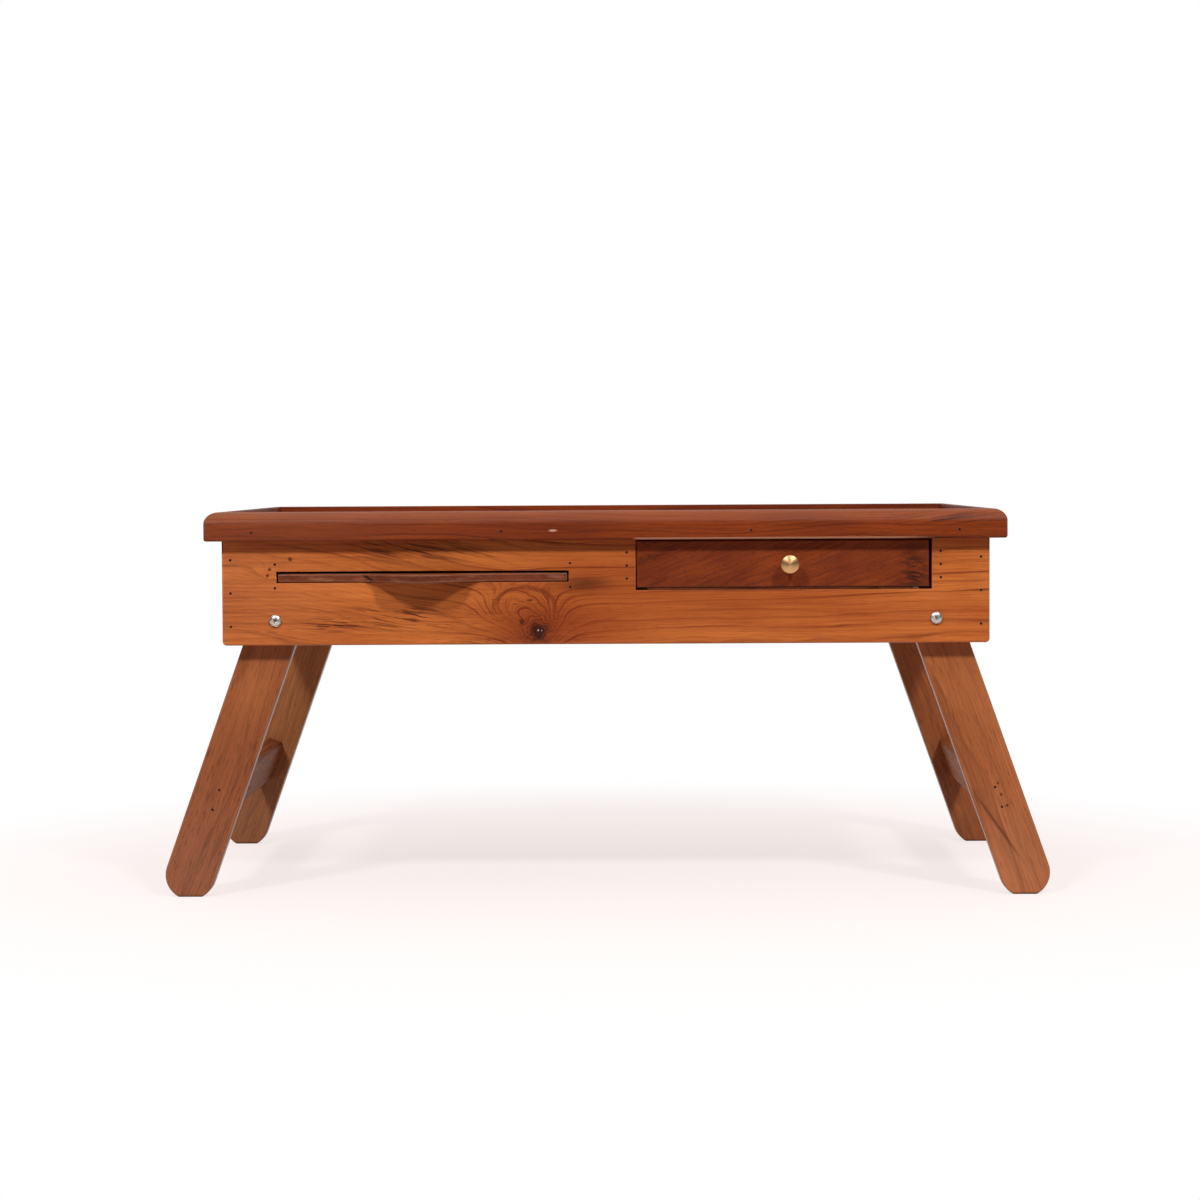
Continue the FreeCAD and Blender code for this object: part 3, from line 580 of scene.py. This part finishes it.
# Drawer front: darker heartwood, its fine grain on a slant, nearly black at the right end, and a painted
# shade along its lower edge
drawerSet = {
    "look": {
        "Pale": "#8b3d16", "Deep": "#69280d", "Late": "#3d1306", "Dark": "#2a0d06", "worn": "#7d4024",
        "wear": 0.2, "RingWidth": 3.4, "Waver": 18, "Line": 0.55, "Hair": 0.55, "Blotch": 0.6,
        "Fibre": 0.6, "Pore": 0.5, "Streak": 0.25, "pith": (26, 50), "rough": (0.34, 0.42), "gloss": 0.2,
        "shorten": 3,  # its fibres rise to the face, so their streaks are short
    },
    "slant": 22, "seed": 51,
    "end": {"at": (90.5, -6), "reach": (9, 14), "slope": 8, "size": (9, 1.7), "levels": (0.44, 0.54),
            "gain": 0.88, "seed": 20, "ink": "#25100a"},
    # painted shade: a dark band along the lower edge, for the gap below it
    "dirt": {"from": 0.7, "to": 1.3, "gain": 0.9, "ink": "#1d0b07"},
}


def drawerMarks(add, centred):
    end, dirt = drawerSet["end"], drawerSet["dirt"]
    level = add("Mapping", {"Vector": centred, "Rotation": (0, -math.radians(drawerSet["slant"]), 0)})
    # with painted shade along the lower edge
    return {"stains": [(streakOf(add, level, level, end), end["ink"]),
                       (bandOf(add, level, "drawer_front", dirt), dirt["ink"])]}


dressBoard("drawer_front", "teak heartwood, satin varnish, drawer front", drawerSet["look"],
           (0, drawerSet["slant"], 0), drawerSet["seed"], drawerMarks)

# Pull-out board: purple brown edge, rubbed pale in places, with one fine check across it
slideSet = {
    "look": dict(drawerSet["look"], shorten=1.5, Pale="#7d3f24", Deep="#602b18", Late="#401a10",
                 Dark="#2f120b", worn="#a56e50", wear=0.4),
    "seed": 52,
    "rubbed": {"slope": 0, "size": (24, 5), "levels": (0.55, 0.7), "share": 0.4, "seed": 60,
               "ink": "#a8765c"},
    "check": {"at": (-37.1, 0), "slope": 33, "reach": (11, 1.2), "gain": 0.95, "share": 1,
              "ink": "#1d0b07"},
    "turned": (0.3, 0.6),  # both fade as the surface turns to the flat faces
}


def slideMarks(add, centred):
    start, end = slideSet["turned"]
    flat = add("NewGeometry", out="True Normal")
    flat = add("SeparateXYZ", {0: flat}, out="Z")
    flat = add("Math", {0: flat}, operation="ABSOLUTE")
    stains = []
    for mark, maskOf in ((slideSet["rubbed"], flecksOf), (slideSet["check"], crackOf)):
        shown = add("MapRange", {0: flat, 1: start, 2: end, 3: mark["share"], 4: 0})
        mask = add("Math", {0: maskOf(add, centred, mark), 1: shown}, **times)
        stains.append((mask, mark["ink"]))
    return {"stains": stains}


dressBoard("slide_board", "teak heartwood, worn varnish, pull-out board", slideSet["look"], alongX,
           slideSet["seed"], slideMarks)

# Unseen carcass: raw sawn wood, pale and dry
innerSet = {
    "look": {
        "Pale": "#cc9c70", "Deep": "#b28058", "Late": "#8f6038", "Dark": "#6b4426", "worn": "#d2ab80",
        "wear": 0.2, "RingWidth": 5, "Waver": 18, "Line": 0.5, "Hair": 0.3, "Blotch": 0.6,
        "Fibre": 0.4, "Pore": 0.25, "Streak": 0.1, "pith": (30, 20), "rough": (0.6, 0.75), "gloss": 0.2,
    },
    "seed": 61,
    "pairs": ("drawer_partition", "drawer_runner", "slide_guide", "drawer_side"),
}
innerTurns = {f"{pair}_{side}": alongY for pair in innerSet["pairs"] for side in ("left", "right")}
innerTurns.update(drawer_back=alongX, drawer_bottom=alongX)
for seed, (node, turn) in enumerate(innerTurns.items(), innerSet["seed"]):
    dressBoard(node, "raw sawn wood, " + node, innerSet["look"], turn, seed)
print("boards dressed")


def fastenerPlaces(node):
    # each fastener is an island of its node: its head's middle and the way that it faces
    bm = bmesh.new()
    bm.from_mesh(nodes[node].data)
    bmesh.ops.remove_doubles(bm, verts=bm.verts, dist=weld)
    low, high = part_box(node)
    middle = (low + high) / 2
    left, places = set(bm.verts), []
    while left:
        island, grow = set(), [left.pop()]
        while grow:
            vert = grow.pop()
            island.add(vert)
            near = {edge.other_vert(vert) for edge in vert.link_edges} & left
            left -= near
            grow += near
        least = Vector([min(vert.co[i] for vert in island) for i in range(3)])
        most = Vector([max(vert.co[i] for vert in island) for i in range(3)])
        axis = max(range(3), key=lambda i: most[i] - least[i])
        facing = Vector()
        facing[axis] = math.copysign(1, least[axis] + most[axis] - 2 * middle[axis])
        places.append(((least + most) / 2 + facing * (most - least)[axis] / 2, facing))
    bm.free()
    return sorted(places, key=lambda place: tuple(place[0]))


def fastenerTree(name, sizes):
    # an empty tree with points in, one named input for each size, and a mesh out
    tree = bpy.data.node_groups.new(name, "GeometryNodeTree")
    tree.interface.new_socket("Geometry", in_out="INPUT", socket_type="NodeSocketGeometry")
    for size in sizes:
        tree.interface.new_socket(size, in_out="INPUT", socket_type="NodeSocketFloat")
    tree.interface.new_socket("Geometry", in_out="OUTPUT", socket_type="NodeSocketGeometry")
    add = partial(addNode, tree)
    return tree, add, add("NodeGroupInput", out=None).outputs


def driveFasteners(tree, points, parts, material, seed):
    # the parts of one fastener (mesh and height), joined and set on every point to face outwards, each
    # rolled by chance
    add = partial(addNode, tree)
    single = add("GeometryNodeJoinGeometry", out=None)
    for mesh, height in parts:
        up = add("CombineXYZ", {"Z": height})
        raised = add("GeometryNodeTransform", {"Geometry": mesh, "Translation": up})
        tree.links.new(raised, single.inputs[0])
    facing = add("GeometryNodeInputNamedAttribute", {"Name": "facing"}, data_type="FLOAT_VECTOR")
    aimed = add("FunctionNodeAlignRotationToVector", {"Vector": facing}, axis="Z")
    roll = add("FunctionNodeRandomValue", {"Min": (0, 0, 0), "Max": (0, 0, 2 * math.pi), "Seed": seed},
               data_type="FLOAT_VECTOR")
    rolled = add("FunctionNodeRotateRotation", {"Rotation": aimed, "Rotate By": roll}, rotation_space="LOCAL")
    placed = add("GeometryNodeInstanceOnPoints", {"Points": points, "Instance": single.outputs[0],
                                                  "Rotation": rolled})
    real = add("GeometryNodeRealizeInstances", {0: placed})
    done = add("GeometryNodeSetMaterial", {"Geometry": real, "Material": material})
    add("NodeGroupOutput", {0: done}, out=None)


def fastenerMesh(name, tree, places, sizes, body, replaced):
    # runs the tree on the places and keeps what it makes as a plain mesh
    points = bpy.data.meshes.new(name)
    points.from_pydata([place for place, facing in places], [], [])
    ways = points.attributes.new("facing", "FLOAT_VECTOR", "POINT")
    ways.data.foreach_set("vector", [value for place, facing in places for value in facing])
    source = newObject(name + " points", points)
    modifier = source.modifiers.new("fasteners", "NODES")
    modifier.node_group = tree
    for item in tree.interface.items_tree:
        if item.in_out == "INPUT" and item.name in sizes:
            modifier[item.identifier] = sizes[item.name] * mm
    made = source.evaluated_get(bpy.context.evaluated_depsgraph_get())
    mesh = bpy.data.meshes.new_from_object(made)
    mesh.name = name
    source.modifiers.remove(modifier)
    bpy.data.objects.remove(source)
    piece = newObject(name, mesh)
    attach(piece, body)
    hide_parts(*replaced)


def mottledMetal(name, look):
    # two tones in patches of a real size, mm; the patches come back too, for the polish
    material, add = emptyMaterial(name)
    coords = add("TexCoord", out="Object")
    mottle = add("TexNoise", {"Vector": coords, "Scale": 1 / (look["patch"] * mm), "Detail": look["octaves"]})
    colour = add("Mix", {0: mottle, 6: look["dark"], 7: look["light"]}, **rgb)
    return material, add, mottle, colour


# Nails: lost heads set level with the wood, in a ring of dirt and old varnish
nailSet = {"sizes": {"HeadRadius": 0.62, "HeadDepth": 0.5, "StainRadius": 0.95, "StainDepth": 0.3,
                     "ShankRadius": 0.6, "PointRadius": 0.1, "ShankLength": 25},  # mm
           "sides": 14, "shankSides": 10, "seed": 7,
           "sinks": (-0.5, -0.7, -1),  # how far head, stain and shank are set in, as shares of their depths
           "nodes": {"table": ["corner_nails", "partition_nails", "guide_nails", "rim_nails"],
                     "drawer": ["drawer_nails"], "legs_left": ["stretcher_nails_left"],
                     "legs_right": ["stretcher_nails_right"]},
           "look": {"patch": 0.6, "octaves": 2, "dark": "#3a261a", "light": "#573f2d", "stain": "#351a10",
                    "rough": 0.55, "metallic": 0.2}}


def nailTree(material):
    tree, add, size = fastenerTree("drivenNails", nailSet["sizes"])
    sides = nailSet["sides"]
    head, stain = [add("GeometryNodeMeshCylinder",
                       {"Vertices": sides, "Radius": size[part + "Radius"], "Depth": size[part + "Depth"]})
                   for part in ("Head", "Stain")]
    stain = add("GeometryNodeStoreNamedAttribute", {"Geometry": stain, "Name": "stain", "Value": 1},
                data_type="FLOAT", domain="POINT")
    shank = add("GeometryNodeMeshCone",
                {"Vertices": nailSet["shankSides"], "Radius Top": size["ShankRadius"],
                 "Radius Bottom": size["PointRadius"], "Depth": size["ShankLength"]})
    parts = []
    depths = ("HeadDepth", "StainDepth", "ShankLength")
    for mesh, depth, share in zip((head, stain, shank), depths, nailSet["sinks"]):
        parts.append((mesh, add("Math", {0: size[depth], 1: share}, **times)))
    driveFasteners(tree, size["Geometry"], parts, material, nailSet["seed"])
    return tree


# dark grey dots in a near-black ring
look = nailSet["look"]
material, add, mottle, colour = mottledMetal("drawn steel wire, oxidised", look)
stain = add("Attribute", out="Fac", attribute_name="stain")
colour = add("Mix", {0: stain, 6: colour, 7: look["stain"]}, **rgb)
metallic = add("MapRange", {0: stain, 3: look["metallic"], 4: 0})
finishMaterial(add, {"Base Color": colour, "Roughness": look["rough"], "Metallic": metallic})
drivenNails = nailTree(material)
for body, group in nailSet["nodes"].items():
    places = [place for node in group for place in fastenerPlaces(node)]
    fastenerMesh("nails_" + body, drivenNails, places, nailSet["sizes"], body, group)
print("nails driven")

# Pivot bolts: pan heads with a cross recess
boltSet = {"sizes": {"HeadRadius": 4.05, "HeadHeight": 2.6, "Crown": 1.3, "RecessLength": 2.3,
                     "RecessWidth": 0.6, "RecessDepth": 1.2, "ShankRadius": 1.98, "ShankLength": 33.4},  # mm
           "sides": 64, "rows": 3, "rings": 18, "shankSides": 32, "seed": 12,
           "fall": 2.6,  # how late the crown falls off to its rim, as a power
           "floor": 0.6, "top": 0.45,  # shares: of the recess's width at full depth, and of the head's height
           "look": {"patch": 1.5, "octaves": 3, "dark": "#b3a9a1", "light": "#ddd5cf",
                    "rough": (0.28, 0.44), "dirt": "#4a2c20", "dirtFull": 0.5, "dirtGain": 0.9,
                    "dirtMetallic": 0.3}}


def boltTree(material):
    tree, add, size = fastenerTree("panHeadBolts", boltSet["sizes"])
    blank = add("GeometryNodeMeshCylinder",
                {"Vertices": boltSet["sides"], "Side Segments": boltSet["rows"], "Radius": size["HeadRadius"],
                 "Fill Segments": boltSet["rings"], "Depth": size["HeadHeight"]})
    spot = add("GeometryNodeInputPosition")
    xyz = add("SeparateXYZ", {0: spot}, out=None).outputs
    flat = add("VectorMath", {0: spot, 1: (1, 1, 0)}, **times)
    radius = add("VectorMath", {0: flat}, out="Value", operation="LENGTH")
    share = add("Math", {0: radius, 1: size["HeadRadius"]}, operation="DIVIDE")
    share = add("Math", {0: share, 1: boltSet["fall"]}, operation="POWER")
    fall = add("Math", {0: share, 1: size["Crown"]}, **times)
    # two crossed arms, deepest in the middle
    floor = add("Math", {0: size["RecessWidth"], 1: boltSet["floor"]}, **times)
    arms = []
    for along, across in (("X", "Y"), ("Y", "X")):
        far = add("Math", {0: xyz[along]}, operation="ABSOLUTE")
        off = add("Math", {0: xyz[across]}, operation="ABSOLUTE")
        depth = add("MapRange", {0: far, 2: size["RecessLength"], 3: size["RecessDepth"], 4: 0})
        arms.append(add("MapRange", {0: off, 1: floor, 2: size["RecessWidth"], 3: depth, 4: 0}))
    sink = add("Math", {0: arms[0], 1: arms[1]}, operation="MAXIMUM")
    recess = add("Math", {0: sink, 1: size["RecessDepth"]}, operation="DIVIDE")
    drop = add("Math", {0: fall, 1: sink}, **plus)
    drop = add("Math", {0: drop, 1: -1}, **times)
    drop = add("CombineXYZ", {"Z": drop})
    top = add("Math", {0: size["HeadHeight"], 1: boltSet["top"]}, **times)
    onTop = add("FunctionNodeCompare", {0: xyz["Z"], 1: top}, data_type="FLOAT", operation="GREATER_THAN")
    blank = add("GeometryNodeStoreNamedAttribute",
                {"Geometry": blank, "Selection": onTop, "Name": "recess", "Value": recess},
                data_type="FLOAT", domain="POINT")
    head = add("GeometryNodeSetPosition", {"Geometry": blank, "Selection": onTop, "Offset": drop})
    head = add("GeometryNodeSetShadeSmooth", {0: head})
    shank = add("GeometryNodeMeshCylinder",
                {"Vertices": boltSet["shankSides"], "Radius": size["ShankRadius"],
                 "Depth": size["ShankLength"]})
    headSink, shankSink = [add("Math", {0: size[depth], 1: -0.5}, **times)
                           for depth in ("HeadHeight", "ShankLength")]
    shankSink = add("Math", {0: shankSink, 1: size["HeadHeight"]}, operation="SUBTRACT")
    driveFasteners(tree, size["Geometry"], [(head, headSink), (shank, shankSink)], material, boltSet["seed"])
    return tree


# grey white metal, slightly mottled, with painted shade in its recess
look = boltSet["look"]
material, add, mottle, colour = mottledMetal("zinc plated steel, bright", look)
# painted shade: the recess is darkened
dirt = add("Attribute", out="Fac", attribute_name="recess")
dirt = add("MapRange", {0: dirt, 1: 0, 2: look["dirtFull"], 4: look["dirtGain"]})
colour = add("Mix", {0: dirt, 6: colour, 7: look["dirt"]}, **rgb)
metallic = add("MapRange", {0: dirt, 3: 1, 4: look["dirtMetallic"]})
rough = add("MapRange", {0: mottle, 3: look["rough"][0], 4: look["rough"][1]})
finishMaterial(add, {"Base Color": colour, "Metallic": metallic, "Roughness": rough})
fastenerMesh("pivot_bolt_set", boltTree(material), fastenerPlaces("pivot_bolts"), boltSet["sizes"],
             nodes["pivot_bolts"]["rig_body"], ["pivot_bolts"])
for node in ("pivot_washers", "pivot_nuts", "knob_screw"):
    nodes[node].data.materials.clear()
    nodes[node].data.materials.append(material)

# Knob: brass turned on a lathe, with fine tool rings on its face
knobSet = {"rings": 0.55, "groove": 0.012, "dome": 1.05, "segments": 72, "stepsPerRing": 4,
           # radius and distance from the drawer front, mm
           "profile": [(4.2, 0), (4.5, 0.3), (4.5, 1.3), (4.2, 1.7), (3.5, 2.3), (3.25, 3.2), (3.25, 5.8),
                       (3.5, 7), (4.3, 8), (5.4, 8.6), (6.05, 9), (6.3, 9.5), (6.35, 10.2),
                       (6.35, 12.6), (6.25, 13.3), (5.95, 13.75), (5.5, 13.95)],
           "look": {"patch": 2.5, "octaves": 3, "dark": "#d09a66", "light": "#e2b180",
                    "rough": (0.36, 0.46), "stretch": 0.5, "stretchTurn": 0.25}}  # it glints across the rings


def turnedKnob(material):
    low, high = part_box("drawer_knob")
    axis = Vector(((low.x + high.x) / 2, high.y, (low.z + high.z) / 2))
    profile = list(knobSet["profile"])
    edge, start = profile[-1]
    steps = knobSet["stepsPerRing"] * int(edge / knobSet["rings"])
    for i in range(1, steps):
        radius = edge * (1 - i / steps)
        tool = knobSet["groove"] * (math.cos(2 * math.pi * radius / knobSet["rings"]) - 1)
        profile.append((radius, start + knobSet["dome"] * (1 - (radius / edge) ** 2) + tool))
    count = knobSet["segments"]
    turns = [2 * math.pi * i / count for i in range(count)]
    bm = bmesh.new()
    loops = []
    for radius, out in profile:
        ring = [Vector((radius * math.cos(t), -out, radius * math.sin(t))) for t in turns]
        loops.append([bm.verts.new(axis + corner * mm) for corner in ring])
    for inner, outer in zip(loops, loops[1:]):
        for i in range(count):
            bm.faces.new((inner[i - 1], inner[i], outer[i], outer[i - 1]))
    bm.faces.new(loops[0])
    bm.faces.new(loops[-1])
    bmesh.ops.recalc_face_normals(bm, faces=bm.faces)
    for face in bm.faces:
        face.smooth = True
    mesh = bpy.data.meshes.new("turned_knob")
    bm.to_mesh(mesh)
    bm.free()
    mesh.materials.append(material)
    piece = newObject("turned_knob", mesh)
    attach(piece, "drawer")
    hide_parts("drawer_knob")


# warm yellow metal, a little dull, that glints in wedges
look = knobSet["look"]
material, add, mottle, colour = mottledMetal("turned brass, lacquered", look)
rough = add("MapRange", {0: mottle, 3: look["rough"][0], 4: look["rough"][1]})
ringwise = add("Tangent", direction_type="RADIAL", axis="Y")
finishMaterial(add, {"Base Color": colour, "Metallic": 1, "Roughness": rough, "Tangent": ringwise,
                     "Anisotropic": look["stretch"], "Anisotropic Rotation": look["stretchTurn"]})
turnedKnob(material)
print("hardware fitted")

# Camera, floor and light
cameraSet = {"place": (0.0224, -2.1314, 0.2930),  # m
             "yaw": 0.7545, "pitch": 2.5119, "roll": -0.3067,  # degrees
             "lens": 86.25, "sensor": 36}  # mm
lens = bpy.data.cameras.new("camera")
lens.lens, lens.sensor_width = cameraSet["lens"], cameraSet["sensor"]
camera = newObject("camera", lens)
turned = (Matrix.Rotation(math.radians(cameraSet["yaw"]), 4, "Z")
          @ Matrix.Rotation(math.radians(90 - cameraSet["pitch"]), 4, "X")
          @ Matrix.Rotation(math.radians(cameraSet["roll"]), 4, "Z"))
camera.matrix_world = Matrix.Translation(cameraSet["place"]) @ turned
scene.camera = camera


def rayKinds(add):
    # 1 for a ray that the camera sends, and 1 for one that a shiny surface mirrors
    path = add("LightPath", out=None).outputs
    mirrored = add("Math", {0: path["Is Glossy Ray"], 1: path["Is Transmission Ray"]}, operation="MAXIMUM")
    return path["Is Camera Ray"], mirrored


floorSet = {"side": 6, "front": -1.25, "back": 6, "near": 0.3, "far": 0.65,  # m
            "seen": "#fff4f1", "bounce": "#cfc2bf", "warm": "#fff7f5", "white": "#ffffff",
            "shadowShare": 0.23}  # the share of the floor's look that takes shadow, close to the object
floorMesh = bpy.data.meshes.new("floor")
side, front, back = [floorSet[key] for key in ("side", "front", "back")]
corners = [(-side, front, 0), (side, front, 0), (side, back, 0), (-side, back, 0)]
floorMesh.from_pydata(corners, [], [(0, 1, 2, 3)])
floor = newObject("floor", floorMesh)
material, add = emptyMaterial("white paper sweep")  # white, with a faint warm shadow under the object
cameraRay, mirrored = rayKinds(add)
seenRay = add("Math", {0: cameraRay, 1: mirrored}, operation="MAXIMUM")
coords = add("TexCoord", out="Object")
reach = add("VectorMath", {0: coords}, out="Value", operation="LENGTH")
away = add("MapRange", {0: reach, 1: floorSet["near"], 2: floorSet["far"]}, **smooth)
glow = add("MapRange", {0: away, 3: 1 - floorSet["shadowShare"], 4: 1})
glow = add("Math", {0: glow, 1: seenRay}, **times)
colour = add("Mix", {0: seenRay, 6: floorSet["bounce"], 7: floorSet["seen"]}, **rgb)
paper = add("BsdfDiffuse", {"Color": colour})
white = add("Mix", {0: away, 6: floorSet["warm"], 7: floorSet["white"]}, **rgb)
white = add("Emission", {"Color": white})
blend = add("MixShader", {0: glow, 1: paper, 2: white})
add("OutputMaterial", {"Surface": blend}, out=None)
floorMesh.materials.append(material)

# two soft boxes in front, over the camera's shoulders, the right one a little stronger
lightSet = {"aim": (0, -0.15, 0.2), "distance": 2.4, "size": 0.3, "height": 38,  # m, and degrees up
            "boxes": {"left": (-27, 26.5), "right": (27, 27)}}  # degrees to the side, and watts
for name, (azimuth, power) in lightSet["boxes"].items():
    lamp = bpy.data.lights.new("soft box " + name, "AREA")
    lamp.shape, lamp.size, lamp.energy = "DISK", lightSet["size"], power
    box = newObject("soft box " + name, lamp)
    side, up = math.radians(azimuth), math.radians(lightSet["height"])
    out = Vector((math.sin(side) * math.cos(up), -math.cos(side) * math.cos(up), math.sin(up)))
    box.location = Vector(lightSet["aim"]) + out * lightSet["distance"]
    box.rotation_mode = "QUATERNION"
    box.rotation_quaternion = (-out).to_track_quat("-Z", "Y")

# a white backdrop behind, a pale ceiling, and a darker room in front that the varnish mirrors
roomSet = {"front": 0.05, "back": 0.7, "turn": (-0.25, 0.6), "ceiling": 0.95, "over": (0.45, 0.85)}
world = bpy.data.worlds.new("studio")
scene.world = world
world.use_nodes = True
world.node_tree.nodes.clear()
add = partial(addNode, world.node_tree)
cameraRay, mirrored = rayKinds(add)
direction = add("TexCoord", out="Generated")
xyz = add("SeparateXYZ", {0: direction}, out=None).outputs
turnFrom, turnTo = roomSet["turn"]
overFrom, overTo = roomSet["over"]
room = add("MapRange", {0: xyz["Y"], 1: turnFrom, 2: turnTo, 3: roomSet["front"], 4: roomSet["back"]})
ceiling = add("MapRange", {0: xyz["Z"], 1: overFrom, 2: overTo, 4: roomSet["ceiling"]})
behind = add("MapRange", {0: xyz["Y"], 1: 0, 2: turnTo, 4: mirrored})
for brighter in (ceiling, behind, cameraRay):
    room = add("Math", {0: room, 1: brighter}, operation="MAXIMUM")
background = add("Background", {"Color": "#ffffff", "Strength": room})
add("OutputWorld", {"Surface": background}, out=None)
scene.view_settings.view_transform = "Standard"
print("studio set")
